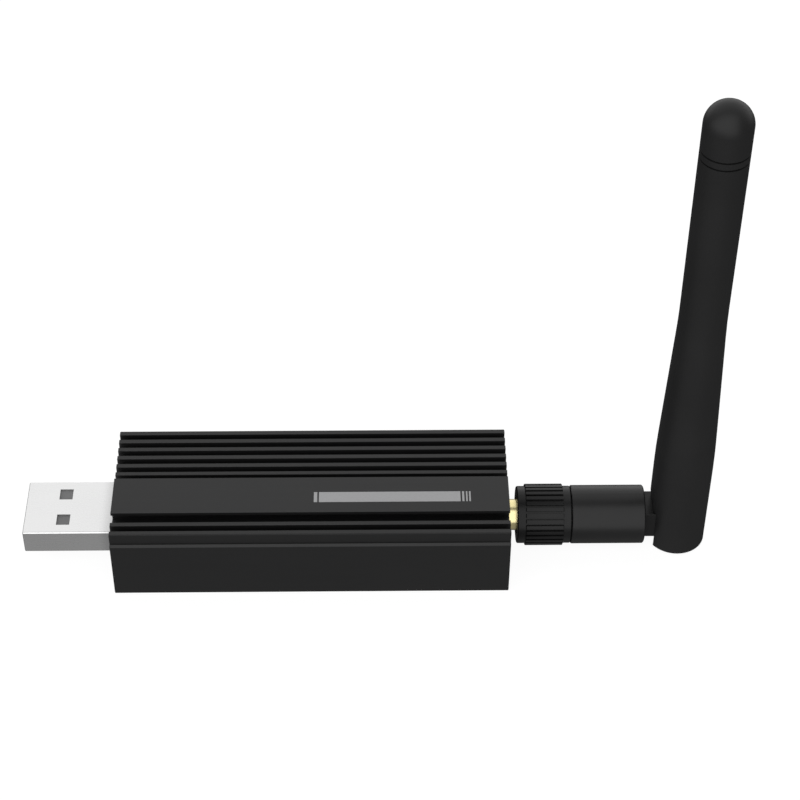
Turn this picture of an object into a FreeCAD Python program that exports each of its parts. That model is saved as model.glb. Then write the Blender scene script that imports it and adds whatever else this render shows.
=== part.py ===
# USB radio stick in a finned metal case, with a screw-on tilting whip antenna.
# Millimetres, +Z up. The case lies flat on z = 0 and runs along X: the USB plug
# points to -X and the antenna stands at the +X end, bent up at its knuckle.
# Sketches count x from the case's USB end; every piece's Placement then moves it
# so that the origin is under the middle of the whole part.

import FreeCAD, Part
import Sketcher
import math
import os

doc = FreeCAD.newDocument("usb_radio_stick")

# ---------------------------------------------------------------- sizes

SIZES = [
    # case: one extrusion with fins, grooves and a raised rail for the label
    ("case_length", 66.05),
    ("case_half_width", 12.75),
    ("ledge_height", 11.57),
    ("upper_front_y", 12.25),
    ("upper_back_y", 12.24),
    ("fin_top", 13.70),
    ("groove_floor", 11.4),
    ("groove_width", 1.125),
    ("groove_pitch", 1.956),
    ("first_groove_y", 2.97),
    ("groove_count", 5),
    ("front_groove_y", 10.69),
    ("front_groove_width", 1.18),
    ("channel_back_y", 1.655),
    ("channel_front_y", 9.31),
    ("rail_centre_y", 3.67),
    ("rail_stem_width", 4.90),
    ("rail_plate_width", 8.075),
    ("rail_plate_bottom", 13.60),
    ("rail_top", 14.25),
    ("case_bevel", 0.20),
    ("ledge_bevel_front", 0.36),
    ("ledge_bevel_back", 0.20),
    ("end_bevel", 0.12),
    ("fin_bevel", 0.08),
    ("cavity_half_width", 9.0),
    ("cavity_floor", 1.4),
    ("cavity_roof", 9.9),
    ("slot_half_width", 9.85),
    ("slot_height", 1.70),
    # end plates, let into the ends of the tube
    ("plate_thick", 1.2),
    ("plate_centre_height", 5.75),
    ("pocket_half_width", 12.0),
    ("pocket_half_height", 4.7),
    ("pocket_corner", 1.5),
    ("plate_gap", 0.05),
    ("screw_reach_y", 10.6),
    ("screw_shank_radius", 0.60),
    ("screw_hole_radius", 0.62),
    ("screw_head_radius", 1.10),
    ("screw_head_depth", 0.50),
    ("screw_length", 6.6),
    ("screw_sink", 0.04),
    ("recess_long", 0.60),
    ("recess_short", 0.13),
    ("recess_depth", 0.30),
    # board
    ("board_bottom", 3.40),
    ("board_thick", 1.60),
    ("board_half_width", 9.80),
    ("board_start", 1.60),
    ("board_end", 62.40),
    ("notch_end", 6.40),
    ("notch_half_width", 6.15),
    # plug
    ("plug_reach", 15.43),
    ("plug_centre_height", 5.50),
    ("plug_half_width", 6.0),
    ("plug_half_height", 2.30),
    ("sheet_thick", 0.30),
    ("plug_corner", 0.28),
    ("plug_inner_corner", 0.10),
    ("plug_back", 6.20),
    ("plug_tip_bevel", 0.12),
    ("plug_hole_start", 9.98),
    ("plug_hole_end", 7.75),
    ("plug_hole_inner_y", 1.76),
    ("plug_hole_outer_y", 4.16),
    ("ear_start", 2.4),
    ("ear_end", 5.2),
    ("ear_reach", 7.6),
    ("tongue_tip", 14.9),
    ("tongue_under", 5.64),
    ("tongue_half_width", 5.60),
        ("block_start", 2.5),
    ("block_end", 5.9),
    ("block_bottom", 3.54),
    ("block_top", 7.46),
    ("contact_tip_outer", 14.3),
    ("contact_tip_inner", 13.3),
    ("contact_end", 7.6),
    ("contact_half_width", 0.50),
    ("contact_thick", 0.20),
    ("contact_under", 5.60),
    ("contact_bend", 6.00),
    ("contact_foot", 6.45),
    ("contact_outer_y", 3.50),
    ("contact_inner_y", 1.00),
    ("plug_opening_gap", 0.10),
    # parts on the board
    ("can_start", 38.0),
    ("can_end", 54.0),
    ("can_half_width", 7.5),
    ("can_high", 2.40),
    ("can_sheet", 0.20),
    ("radio_size", 7.0),
    ("chip_high", 0.85),
    ("radio_x", 46.0),
    ("bridge_size", 5.0),
    ("bridge_x", 16.0),
    ("bridge_y", 2.0),
    ("crystal_long", 3.2),
    ("crystal_wide", 2.5),
    ("crystal_high", 0.7),
    ("regulator_long", 6.5),
    ("regulator_wide", 3.5),
    ("regulator_high", 1.6),
    ("leg_long", 1.5),
    ("leg_wide", 0.7),
    ("leg_thick", 0.25),
    ("switch_long", 4.2),
    ("switch_wide", 3.2),
    ("switch_high", 1.5),
    ("switch_x", 30.0),
    ("switch_y", 6.8),
    ("button_radius", 0.70),
    ("button_flange_radius", 1.00),
    ("button_flange_thick", 0.30),
    ("button_travel", 0.25),
    ("button_proud", 0.55),
    ("button_gap", 0.05),
    ("chip_long", 1.6),
    ("chip_wide", 0.8),
    ("capacitor_high", 0.8),
    ("resistor_high", 0.45),
    ("light_high", 0.6),
    # antenna socket
    ("axis_height", 5.25),
    ("jack_block_start", 62.6),
    ("jack_block_end", 64.8),
    ("jack_block_half", 3.17),
    ("jack_leg_start", 59.4),
    ("jack_leg_wide", 1.0),
    ("jack_leg_thick", 1.2),
    ("jack_neck_radius", 2.645),
    ("jack_neck_end", 68.2),
    ("jack_thread_radius", 3.13),
    ("jack_face", 71.55),
    ("jack_bore_radius", 2.30),
    ("jack_shoulder", 69.65),
    ("line_radius", 2.05),
    ("jack_hole_radius", 3.20),
    ("contact_radius", 0.635),
    ("socket_radius", 0.49),
    ("socket_bottom", 66.2),
    ("tail_radius", 0.25),
    ("tail_start", 59.6),
    # coupling nut
    ("nut_face", 67.76),
    ("nut_back", 76.90),
    ("nut_radius", 4.87),
    ("rib_radius", 5.235),
    ("rib_start", 69.15),
    ("rib_end", 75.58),
    ("rib_count", 31),
    ("rib_floor_radius", 4.89),
    ("rib_gap_top", 0.215),
    ("rib_gap_floor", 0.19),
    ("nut_bevel", 0.15),
    ("insert_start", 68.25),
    ("insert_end", 76.2),
    ("insert_radius", 4.09),
    ("insert_gap", 0.01),
    ("nut_lip_radius", 3.25),
    ("nut_thread_radius", 3.18),
    ("nut_step", 73.2),
    ("nut_inner_radius", 2.53),
    ("nut_rear_radius", 2.60),
    ("ring_start", 74.45),
    ("ring_end", 74.90),
    ("ring_inner_radius", 2.12),
    ("ring_outer_radius", 2.85),
    ("ring_side_gap", 0.05),
    ("ring_slot", 1.20),
    # antenna's own plug
    ("ferrule_start", 69.67),
    ("ferrule_radius", 2.25),
    ("collar_start", 71.90),
    ("collar_end", 73.15),
    ("collar_radius", 3.10),
    ("stem_radius", 2.48),
    ("stem_end", 84.50),
    ("stem_groove_radius", 2.10),
    ("insulator_end", 73.60),
    ("pin_radius", 0.46),
    ("pin_tip", 67.20),
    # barrel, the fixed half of the knuckle
    ("barrel_start", 77.00),
    ("barrel_end", 89.35),
    ("barrel_radius", 4.98),
    ("barrel_bevel", 0.10),
    ("barrel_end_bevel", 0.18),
    ("barrel_bore_radius", 2.53),
    ("barrel_bore_end", 84.60),
    ("catch_start", 82.45),
    ("catch_end", 83.15),
    ("catch_radius", 2.14),
    ("catch_side_gap", 0.05),
    ("hinge_x", 95.28),
    ("tongue_half_thick", 2.80),
    ("knuckle_radius", 2.65),
    ("knuckle_edge", 0.06),
    ("swing_radius", 6.45),
    ("swing_half_width", 4.00),
    ("cable_slot_half", 0.90),
    ("cable_slot_start", 91.28),
    ("pin_hole_radius", 0.83),
    # whip
    ("whip_radius", 4.945),
    ("whip_bottom", 4.82),
    ("taper_start", 15.0),
    ("taper_end", 43.9),
    ("taper_blend", 3.0),
    ("tip_radius", 3.84),
    ("tip_centre", 81.56),
    ("ring_low", 75.90),
    ("ring_high", 77.22),
    ("ring_groove_half", 0.15),
    ("ring_groove_deep", 0.30),
    ("whip_bevel", 0.08),
    ("fork_radius", 4.35),
    ("fork_bottom", 4.72),
    ("fork_top", 14.0),
    ("fork_fit", 0.01),
    ("fork_slot_half", 2.88),
    ("fork_slot_radius", 2.75),
    ("relief_reach", 4.50),
    ("relief_top", 5.00),
    ("hinge_pin_radius", 0.80),
    ("hinge_pin_inner", 1.25),
    ("hinge_pin_outer", 4.25),
    ("hinge_pin_fit", 0.005),
    ("fork_bore_radius", 0.80),
    ("tube_start", 16.0),
    ("tube_end", 39.3),
    ("tube_radius", 2.50),
    ("tube_bore_radius", 2.10),
    ("tube_cap", 0.8),
    ("tube_room_radius", 2.55),
    ("tube_room_end", 43.0),
    ("wire_radius", 0.45),
    ("wire_room_radius", 0.50),
    ("wire_start", 39.5),
    ("wire_end", 66.0),
    # cable through the antenna
    ("coax_radius", 0.685),
    ("coax_bend", 3.20),
]

sheet = doc.addObject("Spreadsheet::Sheet", "Sizes")
for row, (alias, value) in enumerate(SIZES, 1):
    sheet.set("A%d" % row, alias)
    sheet.set("B%d" % row, "%.6g" % value)
    sheet.setAlias("B%d" % row, alias)
doc.recompute()


class Dim(object):
    """A size: its value now, and the expression that binds it to the sheet."""

    def __init__(self, text, value):
        self.text = text
        self.value = float(value)

    def _join(self, other, sign, value):
        return Dim("(%s %s %s)" % (self.text, sign, other.text), value)

    def __add__(self, other):
        other = dim(other)
        return self._join(other, "+", self.value + other.value)

    def __sub__(self, other):
        other = dim(other)
        return self._join(other, "-", self.value - other.value)

    def __mul__(self, other):
        other = dim(other)
        return self._join(other, "*", self.value * other.value)

    def __truediv__(self, other):
        other = dim(other)
        return self._join(other, "/", self.value / other.value)

    def __radd__(self, other):
        return dim(other) + self

    def __rsub__(self, other):
        return dim(other) - self

    def __rmul__(self, other):
        return dim(other) * self

    def __neg__(self):
        return Dim("(0 - %s)" % self.text, -self.value)


def dim(value):
    if isinstance(value, Dim):
        return value
    return Dim("(%.6f)" % value if value < 0 else "%.6f" % value, value)


class Sheet(object):
    def __getattr__(self, alias):
        return Dim("Sizes.%s" % alias, getattr(sheet, alias))


S = Sheet()
SHIFT = (S.hinge_x + S.whip_radius - S.plug_reach) / 2
PARTS = []
START_X = {}


def keep(obj, label):
    """Names the piece and moves it into the part's frame."""
    obj.Label = label
    obj.setExpression("Placement.Base.x", (START_X.get(obj.Name, dim(0.0)) - SHIFT).text)
    PARTS.append(obj)
    return obj


# ---------------------------------------------------------------- helpers

def new_body(label, several=False):
    body = doc.addObject("PartDesign::Body", "Body_" + label)
    if several:
        body.AllowCompound = True
    return keep(body, label)


def origin_plane(body, role):
    for feature in body.Origin.OriginFeatures:
        if feature.Role == role:
            return feature
    raise ValueError(role)


def sketch(body, name, role, u=0.0, v=0.0, out=0.0):
    """A sketch on one of the body's own planes: "XY" seen from above, "XZ" from the
    front (its normal is -Y), "YZ" from the +X end. u, v and out move its origin."""
    sk = body.newObject("Sketcher::SketchObject", body.Label + "_" + name)
    sk.AttachmentSupport = [(origin_plane(body, role + "_Plane"), "")]
    sk.MapMode = "FlatFace"
    for axis, value in zip("xyz", (u, v, out)):
        value = dim(value)
        if abs(value.value) > 1e-9:
            sk.setExpression("AttachmentOffset.Base." + axis, value.text)
    return sk


def outline(sk, points):
    """A closed outline. A point is (u, v), or (u, v, centre_u, centre_v, turn, fixed)
    when an arc leads from it to the next point: turn is +1 anticlockwise, and fixed
    says which of the centre's coordinates is held."""
    first = sk.GeometryCount
    count = len(points)
    ends = []
    for k, p in enumerate(points):
        a = [dim(c) for c in p[:2]]
        b = [dim(c) for c in points[(k + 1) % count][:2]]
        if len(p) == 2:
            sk.addGeometry(Part.LineSegment(FreeCAD.Vector(a[0].value, a[1].value, 0),
                                            FreeCAD.Vector(b[0].value, b[1].value, 0)), False)
            ends.append((1, 2))
        else:
            cu, cv = dim(p[2]).value, dim(p[3]).value
            radius = math.hypot(a[0].value - cu, a[1].value - cv)
            angle_a = math.atan2(a[1].value - cv, a[0].value - cu)
            angle_b = math.atan2(b[1].value - cv, b[0].value - cu)
            circle = Part.Circle(FreeCAD.Vector(cu, cv, 0), FreeCAD.Vector(0, 0, 1), radius)
            if p[4] > 0:
                sk.addGeometry(Part.ArcOfCircle(circle, angle_a, angle_b), False)
                ends.append((1, 2))
            else:
                sk.addGeometry(Part.ArcOfCircle(circle, angle_b, angle_a), False)
                ends.append((2, 1))
    links = []
    for k in range(count):
        n = (k + 1) % count
        links.append(Sketcher.Constraint("Coincident", first + k, ends[k][1], first + n, ends[n][0]))
    sk.addConstraint(links)
    sizes, texts = [], []
    for k, p in enumerate(points):
        held = [("DistanceX", ends[k][0], p[0]), ("DistanceY", ends[k][0], p[1])]
        if len(p) > 2:
            held.append(("DistanceX", 3, p[2]) if p[5] == "u" else ("DistanceY", 3, p[3]))
        for kind, end, value in held:
            value = dim(value)
            sizes.append(Sketcher.Constraint(kind, -1, 1, first + k, end, value.value))
            texts.append(value.text)
    for index, text in zip(sk.addConstraint(sizes), texts):
        sk.setExpression("Constraints[%d]" % index, text)


def rectangle(sk, u0, u1, v0, v1):
    outline(sk, [(u0, v0), (u1, v0), (u1, v1), (u0, v1)])


def circle(sk, u, v, radius):
    u, v, radius = dim(u), dim(v), dim(radius)
    index = sk.addGeometry(Part.Circle(FreeCAD.Vector(u.value, v.value, 0), FreeCAD.Vector(0, 0, 1), radius.value), False)
    made = sk.addConstraint([
        Sketcher.Constraint("DistanceX", -1, 1, index, 3, u.value),
        Sketcher.Constraint("DistanceY", -1, 1, index, 3, v.value),
        Sketcher.Constraint("Radius", index, radius.value),
    ])
    for number, value in zip(made, (u, v, radius)):
        sk.setExpression("Constraints[%d]" % number, value.text)


def extrude(body, kind, name, sk, length, back=False, both=False):
    feature = body.newObject("PartDesign::" + kind, body.Label + "_" + name)
    feature.Profile = sk
    if both:
        feature.SideType = "Symmetric"
    # a pad goes along the sketch's normal, and a pocket against it
    feature.Reversed = (not back) if kind == "Pocket" else back
    feature.setExpression("Length", dim(length).text)
    return feature


def pad(body, name, sk, length, back=False, both=False):
    return extrude(body, "Pad", name, sk, length, back, both)


def pocket(body, name, sk, length, back=False, both=False):
    return extrude(body, "Pocket", name, sk, length, back, both)


def turn(body, kind, name, sk, axis):
    feature = body.newObject("PartDesign::" + kind, body.Label + "_" + name)
    feature.Profile = sk
    feature.ReferenceAxis = (sk, [axis])
    feature.Angle = 360
    return feature


def along(body, name, feature, sk, axis, length, count, back=False):
    row = body.newObject("PartDesign::LinearPattern", body.Label + "_" + name)
    row.Originals = [feature]
    row.Direction = (sk, [axis])
    row.Reversed = back
    row.setExpression("Length", dim(length).text)
    if isinstance(count, Dim):
        row.setExpression("Occurrences", count.text)
    else:
        row.Occurrences = count
    body.Tip = row
    return row


def around(body, name, feature, sk, count):
    ring = body.newObject("PartDesign::PolarPattern", body.Label + "_" + name)
    ring.Originals = [feature]
    ring.Axis = (sk, ["N_Axis"])
    ring.Angle = 360
    ring.setExpression("Occurrences", count.text)
    body.Tip = ring
    return ring


def mirrored(body, name, feature, role):
    copy = body.newObject("PartDesign::Mirrored", body.Label + "_" + name)
    copy.Originals = [feature]
    copy.MirrorPlane = (origin_plane(body, role + "_Plane"), [""])
    body.Tip = copy
    return copy


def find_edges(feature, test):
    """Names of the edges for which test(middle, direction, bounding box, edge) holds."""
    doc.recompute()
    names = []
    for number, edge in enumerate(feature.Shape.Edges, 1):
        box_ = edge.BoundBox
        if test(edge.CenterOfMass, edge.tangentAt(edge.FirstParameter), box_, edge):
            names.append("Edge%d" % number)
    if not names:
        raise ValueError("no edge found on " + feature.Label)
    return names


def dress(body, kind, name, feature, edges, size):
    made = body.newObject("PartDesign::" + kind, body.Label + "_" + name)
    made.Base = (feature, edges)
    made.setExpression("Radius" if kind == "Fillet" else "Size", dim(size).text)
    body.Tip = made
    return made


def near(a, b, tol=1e-4):
    b = b.value if isinstance(b, Dim) else b
    return abs(a - b) < tol


def block(name, x, y, z, long, wide, high):
    """A box from its lowest corner."""
    obj = doc.addObject("Part::Box", name)
    for prop, value in (("Length", long), ("Width", wide), ("Height", high),
                        ("Placement.Base.x", x), ("Placement.Base.y", y), ("Placement.Base.z", z)):
        obj.setExpression(prop, dim(value).text)
    START_X[obj.Name] = dim(x)
    return obj


def centred(name, x, y, z, long, wide, high):
    """A box standing on z over the point x, y."""
    return block(name, dim(x) - dim(long) / 2, dim(y) - dim(wide) / 2, z, long, wide, high)


TO_X = FreeCAD.Rotation(FreeCAD.Vector(0, 0, 1), FreeCAD.Vector(1, 0, 0))
TO_Y = FreeCAD.Rotation(FreeCAD.Vector(0, 0, 1), FreeCAD.Vector(0, 1, 0))


def rod(name, x, y, z, radius, long, rotation=None):
    obj = doc.addObject("Part::Cylinder", name)
    if rotation is not None:
        obj.Placement = FreeCAD.Placement(FreeCAD.Vector(0, 0, 0), rotation)
    for prop, value in (("Radius", radius), ("Height", long),
                        ("Placement.Base.x", x), ("Placement.Base.y", y), ("Placement.Base.z", z)):
        obj.setExpression(prop, dim(value).text)
    START_X[obj.Name] = dim(x)
    return obj


def less(name, base, tool):
    obj = doc.addObject("Part::Cut", name)
    obj.Base = base
    obj.Tool = tool
    return obj


def joined(name, pieces):
    obj = doc.addObject("Part::MultiFuse", name)
    obj.Shapes = pieces
    return obj


def together(label, pieces):
    """A group of separate solids that are all the same thing."""
    obj = doc.addObject("Part::Compound", "Group_" + label)
    obj.Links = pieces
    return keep(obj, label)


# ---------------------------------------------------------------- case

case = new_body("case_extrusion")
b, fb, lb, lf = S.case_bevel, S.fin_bevel, S.ledge_bevel_back, S.ledge_bevel_front
sk = sketch(case, "outline", "YZ")
outline(sk, [
    (-S.case_half_width + b, 0.0), (S.case_half_width - b, 0.0),
    (S.case_half_width, b), (S.case_half_width, S.ledge_height - lb),
    (S.case_half_width - lb, S.ledge_height), (S.upper_back_y, S.ledge_height),
    (S.upper_back_y, S.fin_top - fb), (S.upper_back_y - fb, S.fin_top),
    (-S.upper_front_y + fb, S.fin_top), (-S.upper_front_y, S.fin_top - fb),
    (-S.upper_front_y, S.ledge_height), (-S.case_half_width + lf, S.ledge_height),
    (-S.case_half_width, S.ledge_height - lf), (-S.case_half_width, b),
])
bar = pad(case, "bar", sk, S.case_length)
rims = find_edges(bar, lambda c, d, bb, e: bb.XLength < 1e-4)
bar = dress(case, "Chamfer", "end_edges", bar, rims, S.end_bevel)

# fins: five even grooves at the back, one at the front, and a wide channel
sk = sketch(case, "groove", "YZ")
rectangle(sk, S.first_groove_y - S.groove_width / 2, S.first_groove_y + S.groove_width / 2,
          S.groove_floor, S.fin_top + 1)
groove = pocket(case, "groove_cut", sk, S.case_length)
row = along(case, "groove_row", groove, sk, "H_Axis", S.groove_pitch * (S.groove_count - 1), S.groove_count)
sk = sketch(case, "front_groove", "YZ")
rectangle(sk, -S.front_groove_y - S.front_groove_width / 2, -S.front_groove_y + S.front_groove_width / 2,
          S.groove_floor, S.fin_top + 1)
pocket(case, "front_groove_cut", sk, S.case_length)
sk = sketch(case, "channel", "YZ")
rectangle(sk, -S.channel_front_y, S.channel_back_y, S.groove_floor, S.fin_top + 1)
channel = pocket(case, "channel_cut", sk, S.case_length)
tops = find_edges(channel, lambda c, d, bb, e: near(bb.ZMin, S.fin_top) and near(bb.ZMax, S.fin_top) and bb.XLength > 60)
dress(case, "Chamfer", "fin_edges", channel, tops, S.fin_bevel)

# the rail that carries the label: a stem and a plate over the channel
sk = sketch(case, "rail", "YZ")
stem0 = -S.rail_centre_y - S.rail_stem_width / 2
stem1 = -S.rail_centre_y + S.rail_stem_width / 2
plate0 = -S.rail_centre_y - S.rail_plate_width / 2
plate1 = -S.rail_centre_y + S.rail_plate_width / 2
outline(sk, [(stem0, S.groove_floor - 0.3), (stem1, S.groove_floor - 0.3), (stem1, S.rail_plate_bottom),
             (plate1, S.rail_plate_bottom), (plate1, S.rail_top), (plate0, S.rail_top),
             (plate0, S.rail_plate_bottom), (stem0, S.rail_plate_bottom)])
rail = pad(case, "rail_pad", sk, S.case_length)
rail_edges = find_edges(rail, lambda c, d, bb, e: near(bb.ZMin, S.rail_top) and near(bb.ZMax, S.rail_top))
dress(case, "Chamfer", "rail_edges", rail, rail_edges, S.fin_bevel)

# the room for the board, with a slot along each side for its edges
sk = sketch(case, "cavity", "YZ")
w, sw = S.cavity_half_width, S.slot_half_width
s0, s1 = S.board_bottom, S.board_bottom + S.slot_height
outline(sk, [(-w, S.cavity_floor), (w, S.cavity_floor), (w, s0), (sw, s0), (sw, s1), (w, s1),
             (w, S.cavity_roof), (-w, S.cavity_roof), (-w, s1), (-sw, s1), (-sw, s0), (-w, s0)])
pocket(case, "cavity_cut", sk, S.case_length)


def round_rectangle(sk, half_u, half_v, radius):
    hu, hv, r = dim(half_u), dim(half_v), dim(radius)
    outline(sk, [
        (-hu + r, -hv), (hu - r, -hv, hu - r, -hv + r, 1, "u"),
        (hu, -hv + r), (hu, hv - r, hu - r, hv - r, 1, "u"),
        (hu - r, hv), (-hu + r, hv, -hu + r, hv - r, 1, "u"),
        (-hu, hv - r), (-hu, -hv + r, -hu + r, -hv + r, 1, "u"),
    ])


for name, at, back in (("usb_end", dim(0.0), False), ("antenna_end", S.case_length, True)):
    sk = sketch(case, name, "YZ", v=S.plate_centre_height, out=at)
    round_rectangle(sk, S.pocket_half_width, S.pocket_half_height, S.pocket_corner)
    pocket(case, name + "_pocket", sk, S.plate_thick, back=back)
    sk = sketch(case, name + "_bores", "YZ", v=S.plate_centre_height, out=at)
    circle(sk, S.screw_reach_y, 0.0, S.screw_hole_radius)
    circle(sk, -S.screw_reach_y, 0.0, S.screw_hole_radius)
    pocket(case, name + "_bore", sk, S.plate_thick + S.screw_length, back=back)

# ---------------------------------------------------------------- end plates and screws


def end_plate(label, at, inward, opening):
    """inward is +1 at the USB end and -1 at the antenna end."""
    body = new_body(label)
    sk = sketch(body, "outline", "YZ", v=S.plate_centre_height, out=at)
    round_rectangle(sk, S.pocket_half_width - S.plate_gap, S.pocket_half_height - S.plate_gap,
                    S.pocket_corner - S.plate_gap)
    pad(body, "plate", sk, S.plate_thick, back=inward < 0)
    opening(body, at, inward)
    sk = sketch(body, "holes", "YZ", v=S.plate_centre_height, out=at)
    circle(sk, S.screw_reach_y, 0.0, S.screw_shank_radius + S.plate_gap)
    circle(sk, -S.screw_reach_y, 0.0, S.screw_shank_radius + S.plate_gap)
    cut = pocket(body, "hole", sk, S.plate_thick, back=inward < 0)
    rims = find_edges(cut, lambda c, d, bb, e: near(c.x, at) and bb.XLength < 1e-3
                      and near(bb.YLength, 2 * (S.screw_shank_radius + S.plate_gap).value, 0.05))
    dress(body, "Chamfer", "countersink", cut, rims, S.screw_head_radius - S.screw_shank_radius)
    return body


def plug_opening(body, at, inward):
    sk = sketch(body, "opening", "YZ", v=S.plug_centre_height, out=at)
    round_rectangle(sk, S.plug_half_width + S.plug_opening_gap, S.plug_half_height + S.plug_opening_gap,
                    S.plug_corner + S.plug_opening_gap)
    pocket(body, "opening_cut", sk, S.plate_thick, back=inward < 0)


def jack_opening(body, at, inward):
    sk = sketch(body, "opening", "YZ", v=S.axis_height, out=at)
    circle(sk, 0.0, 0.0, S.jack_hole_radius)
    pocket(body, "opening_cut", sk, S.plate_thick, back=inward < 0)


def end_screws(label, at, inward):
    body = new_body(label, several=True)
    sk = sketch(body, "profile", "XZ", u=at, v=S.plate_centre_height)
    head = inward * S.screw_sink
    outline(sk, [(head, 0.0), (head, S.screw_head_radius), (head + inward * S.screw_head_depth, S.screw_shank_radius),
                 (head + inward * S.screw_length, S.screw_shank_radius), (head + inward * (S.screw_length + 0.2), 0.0)])
    # the screw is turned on the part's middle plane, then copied to both sides
    sk.setExpression("AttachmentOffset.Base.z", S.screw_reach_y.text)
    shank = turn(body, "Revolution", "shank", sk, "H_Axis")
    cross = sketch(body, "cross", "YZ", u=-S.screw_reach_y, v=S.plate_centre_height, out=at + head)
    lo, sh = S.recess_long, S.recess_short
    outline(cross, [(-lo, -sh), (-sh, -sh), (-sh, -lo), (sh, -lo), (sh, -sh), (lo, -sh),
                    (lo, sh), (sh, sh), (sh, lo), (-sh, lo), (-sh, sh), (-lo, sh)])
    recess = pocket(body, "recess", cross, S.recess_depth, back=inward < 0)
    pair = mirrored(body, "pair", shank, "XZ")
    pair.Originals = [shank, recess]
    return body


end_plate("usb_end_plate", dim(0.0), 1, plug_opening)
end_plate("antenna_end_plate", S.case_length, -1, jack_opening)
end_screws("usb_end_screws", dim(0.0), 1)
end_screws("antenna_end_screws", S.case_length, -1)

# ---------------------------------------------------------------- board and plug

board = new_body("main_board")
sk = sketch(board, "outline", "XY", out=S.board_bottom)
bw, nw = S.board_half_width, S.notch_half_width
outline(sk, [(S.board_start, -bw), (S.board_end, -bw), (S.board_end, bw), (S.board_start, bw),
             (S.board_start, nw), (S.notch_end, nw), (S.notch_end, -nw), (S.board_start, -nw)])
pad(board, "plate", sk, S.board_thick)
BOARD_TOP = S.board_bottom + S.board_thick

shell = new_body("usb_plug_shell")
sk = sketch(shell, "outline", "YZ", v=S.plug_centre_height, out=-S.plug_reach)
rectangle(sk, -S.plug_half_width, S.plug_half_width, -S.plug_half_height, S.plug_half_height)
tube = pad(shell, "tube", sk, S.plug_reach + S.plug_back)
corners = find_edges(tube, lambda c, d, bb, e: bb.XLength > 10)
dress(shell, "Fillet", "corners", tube, corners, S.plug_corner)
sk = sketch(shell, "inside", "YZ", v=S.plug_centre_height, out=-S.plug_reach)
round_rectangle(sk, S.plug_half_width - S.sheet_thick, S.plug_half_height - S.sheet_thick, S.plug_inner_corner)
hollow = pocket(shell, "inside_cut", sk, S.plug_reach + S.plug_back)
tip = find_edges(hollow, lambda c, d, bb, e: bb.XLength < 1e-3 and near(c.x, -S.plug_reach.value)
                 and (abs(c.y) > S.plug_half_width.value - 0.25
                      or abs(c.z - S.plug_centre_height.value) > S.plug_half_height.value - 0.25))
dress(shell, "Chamfer", "tip_edge", hollow, tip, S.plug_tip_bevel)
sk = sketch(shell, "windows", "XY", out=S.plug_centre_height)
for side in (1.0, -1.0):
    y0, y1 = side * S.plug_hole_inner_y, side * S.plug_hole_outer_y
    if side < 0:
        y0, y1 = y1, y0
    rectangle(sk, -S.plug_hole_start, -S.plug_hole_end, y0, y1)
pocket(shell, "window_cut", sk, S.plug_half_height * 2 + 2, both=True)
sk = sketch(shell, "ear", "XY", out=BOARD_TOP)
rectangle(sk, S.ear_start, S.ear_end, S.plug_half_width - S.sheet_thick * 0.7, S.ear_reach)
ear = pad(shell, "ear_pad", sk, S.sheet_thick)
mirrored(shell, "ear_pair", ear, "XZ")

plug = new_body("usb_plug_insulator")
sk = sketch(plug, "tongue", "XY", out=S.tongue_under)
rectangle(sk, -S.tongue_tip, S.block_end, -S.tongue_half_width, S.tongue_half_width)
pad(plug, "tongue_pad", sk, S.block_top - S.tongue_under)
sk = sketch(plug, "block", "XY", out=S.block_bottom)
rectangle(sk, -S.block_start, S.block_end, -S.tongue_half_width, S.tongue_half_width)
pad(plug, "block_pad", sk, S.block_top - S.block_bottom)
sk = sketch(plug, "channels", "YZ", out=-S.contact_tip_outer)
for centre in (S.contact_outer_y, S.contact_inner_y, -S.contact_inner_y, -S.contact_outer_y):
    rectangle(sk, centre - S.contact_half_width, centre + S.contact_half_width,
              S.contact_under, S.contact_under + S.contact_thick)
pocket(plug, "channel_cut", sk, S.contact_tip_outer + S.block_end)

# contacts: under the tongue, through the block, then down to the board
contacts = new_body("usb_contacts", several=True)
for number, (centre, start) in enumerate(((S.contact_outer_y, S.contact_tip_outer), (S.contact_inner_y, S.contact_tip_inner),
                                          (-S.contact_inner_y, S.contact_tip_inner), (-S.contact_outer_y, S.contact_tip_outer))):
    # the sketch's normal is -Y
    sk = sketch(contacts, "strip_%d" % number, "XZ", out=-centre)
    low, thick = S.contact_under, S.contact_thick
    outline(sk, [(-start, low), (S.contact_bend, low), (S.contact_foot, BOARD_TOP), (S.contact_end, BOARD_TOP),
                 (S.contact_end, BOARD_TOP + thick), (S.contact_foot + 0.09, BOARD_TOP + thick),
                 (S.contact_bend + 0.09, low + thick), (-start, low + thick)])
    pad(contacts, "strip_pad_%d" % number, sk, S.contact_half_width * 2, both=True)

# ---------------------------------------------------------------- parts on the board

outer = block("can_outer", S.can_start, -S.can_half_width, BOARD_TOP, S.can_end - S.can_start, S.can_half_width * 2, S.can_high)
inner = block("can_inner", S.can_start + S.can_sheet, -S.can_half_width + S.can_sheet, BOARD_TOP - 1,
              S.can_end - S.can_start - S.can_sheet * 2, (S.can_half_width - S.can_sheet) * 2, S.can_high - S.can_sheet + 1)
keep(less("Can", outer, inner), "rf_shield_can")
keep(centred("Radio", S.radio_x, 0.0, BOARD_TOP, S.radio_size, S.radio_size, S.chip_high), "radio_chip")
keep(centred("Bridge", S.bridge_x, -S.bridge_y, BOARD_TOP, S.bridge_size, S.bridge_size, S.chip_high), "usb_bridge_chip")
keep(centred("Crystal", S.can_start + 2.3, 4.5, BOARD_TOP, S.crystal_long, S.crystal_wide, S.crystal_high), "crystal")

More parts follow.
